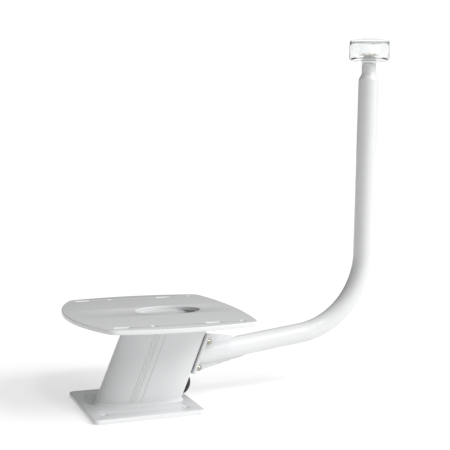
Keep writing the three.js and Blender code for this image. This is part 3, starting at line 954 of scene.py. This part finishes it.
# %% Lamp lens, seal and sleeve
turns = [math.pi / 2 * i / 10 for i in range(11)]
corner_points = [(30 + 4 * math.sin(a), 567.3 - 4 * math.cos(a)) for a in turns]
lens_profile = [(9.4, 563.3)] + corner_points + [(34, 589.9), (33.6, 590.3), (31.3, 590.3), (31, 590)]
lens_profile += [(31, 568.8), (30.3, 567), (28.5, 566.3), (9.4, 566.3)]
lens_mesh = turned("lens", [(r * MM, h * MM) for r, h in lens_profile], pole_axis, 144, loop=True)
make("lamp_lens_clear", lens_mesh, "clear_plastic", ["lamp_lens"])
seal_section = [(31, 590.6), (33.4, 590.6), (33.4, 591.5), (31, 591.5)]
seal_piece = turned_loop("cap_seal_soft", seal_section, 0.25, "frosted_plastic", ["cap_seal"])
seal_piece.data.materials[0] = SOFT_SEAL
sleeve_section = [(17.4, 573), (19, 573), (19, 588), (17.4, 588)]
turned_loop("lamp_sleeve", sleeve_section, 0.4, "frosted_plastic", ["lamp_diffuser"])

# %% [markdown]
# ## Lamp lid
# The lid has a slightly crowned top, a short plug inside the lens, and one small tab to turn it
# by. The tab rides with the lid, so both are set on the lid's own body.

# %% Lamp lid
lid_plug = [(0, 589.4), (30.7, 589.4), (30.7, 591.8)]
lid_edge = lid_plug + [(33.3, 591.8), (33.6, 592.2), (33.6, 595.3), (32.9, 596.2), (31.4, 596.6)]
lid_crown = [(31.4 * (1 - t), 596.6 + 0.9 * (1 - (1 - t) ** 2)) for t in (i / 12 for i in range(1, 13))]
lid_mesh = turned("lid", [(r * MM, h * MM) for r, h in lid_edge + lid_crown], pole_axis, 144)
make("lamp_cap_clear", lid_mesh, "clear_plastic", ["lamp_cap"], body="cap")
TAB_ANGLE = math.radians(-112)
tab_outline = rounded_rectangle(4.6 * MM, 4.8 * MM, 0.7 * MM, 5)
tab_turn = Matrix.Rotation(TAB_ANGLE, 4, "Z") @ Matrix.Rotation(math.pi / 2, 4, "Y")
tab_place = pole_axis @ Matrix.Translation((0, 0, 590.2 * MM)) @ tab_turn
tab_mesh = flat_plate("tab", [tab_outline], 33.2 * MM, 35 * MM, 0.4 * MM, tab_place)
make("lamp_cap_tab", tab_mesh, "clear_plastic", ["lamp_cap"], body="cap")

# %% [markdown]
# ## Lamp board and emitters
# A small white board carries six surface-mounted emitters in a ring. They are seen only through
# the lamp's walls, but the yellow of their phosphor is what makes a clear lamp look real.

# %% Lamp board and emitters
board_low, board_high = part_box("lamp_board")
board_foot = board_low.z / MM
board_face = board_high.z / MM
turned_loop(
    "lamp_board_white",
    [(9.4, board_foot), (16.5, board_foot), (16.5, board_face), (9.4, board_face)],
    0.2,
    "board_white",
    ["lamp_board"],
)
for i in range(1, 7):
    node = f"light_emitter_{i}"
    low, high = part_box(node)
    size = high - low
    centre = (low + high) / 2
    across = rounded_rectangle(3.5 * MM, 3.5 * MM, 0.5 * MM, 4)
    facing = Matrix.Rotation(2 * math.pi * (i - 1) / 6, 4, "Z")
    lift = Matrix.Translation((centre.x, centre.y, 0)) @ facing
    emitter_mesh = flat_plate(node, [across], low.z, high.z, 0.3 * MM, lift)
    make(node + "_soft", emitter_mesh, "emitter_yellow", [node])

# %% [markdown]
# ## Floor and light
# A white object shows best on a paler ground, with light from one side. A sun lamp with a wide
# angle acts as a distant softbox: its shadows are soft, and it lights the whole floor evenly. The
# floor is a light table that glows a little, as under many catalogue pictures, so shadows stay
# pale. What the camera sees of the studio is plain white, also through the lamp's clear walls.

# %% Floor and light
floor_mesh = bpy.data.meshes.new("floor")
floor_bm = bmesh.new()
bmesh.ops.create_grid(floor_bm, x_segments=2, y_segments=2, size=60)
floor_bm.to_mesh(floor_mesh)
floor_bm.free()
floor_object = bpy.data.objects.new("floor", floor_mesh)
floor_object.location.z = -0.0002
bpy.context.scene.collection.objects.link(floor_object)


def make_floor_finish():
    material, tree, shader, flow = new_finish("floor_paper", COAT_SKIN, Specular_IOR_Level=0.05)
    shader.inputs["Emission Color"].default_value = (1, 1, 1, 1)
    shader.inputs["Emission Strength"].default_value = 0.44
    flow.inputs["Peel Scale"].default_value = 40.0
    tone = mix_colours(tree, flow.outputs["Gloss"], (0.62, 0.62, 0.62), (0.65, 0.65, 0.65))
    link(tree, tone, shader.inputs["Base Color"])
    link(tree, remap(tree, flow.outputs["Gloss"], 0.8, 0.9), shader.inputs["Roughness"])
    return material


floor_mesh.materials.append(make_floor_finish())


def distant_softbox(name, towards_light, width, strength):
    data = bpy.data.lights.new(name, "SUN")
    data.angle = math.radians(width)
    data.energy = strength
    lamp = bpy.data.objects.new(name, data)
    lamp.rotation_euler = Vector(towards_light).to_track_quat("Z", "Y").to_euler()
    bpy.context.scene.collection.objects.link(lamp)


distant_softbox("key", (0.66, -0.62, 0.68), 32, 2.0)
distant_softbox("shine", (0.1, -0.6, 0.8), 8, 0.35)

BRIGHT_SIDE = (0.62, -0.42, 0.66)


def make_studio_world(dark_side, bright_side, seen):
    """Fills more from the bright side of the studio than from the dark side.

    The camera sees plain white, and so does whatever looks through the lamp's clear walls.
    """
    world = bpy.data.worlds.new("studio")
    world.use_nodes = True
    tree = world.node_tree
    direction = place_node(tree, "ShaderNodeTexCoord").outputs["Generated"]
    towards = place_node(tree, "ShaderNodeVectorMath", operation="DOT_PRODUCT")
    towards.inputs[1].default_value = BRIGHT_SIDE
    link(tree, direction, towards.inputs[0])
    fill = remap(tree, towards.outputs["Value"], dark_side, bright_side, -0.35, 1.0)
    path = place_node(tree, "ShaderNodeLightPath")
    shown = place_node(tree, "ShaderNodeMix", data_type="FLOAT")
    seen_or_through = (path.outputs["Is Camera Ray"], path.outputs["Is Transmission Ray"])
    link(tree, calculate(tree, "MAXIMUM", *seen_or_through), shown.inputs["Factor"])
    link(tree, fill, shown.inputs["A"])
    shown.inputs["B"].default_value = seen
    background = tree.nodes["Background"]
    background.inputs["Color"].default_value = (1, 1, 1, 1)
    link(tree, shown.outputs["Result"], background.inputs["Strength"])
    return world


bpy.context.scene.world = make_studio_world(0.03, 0.85, 1.0)
bpy.context.scene.view_settings.view_transform = "Standard"
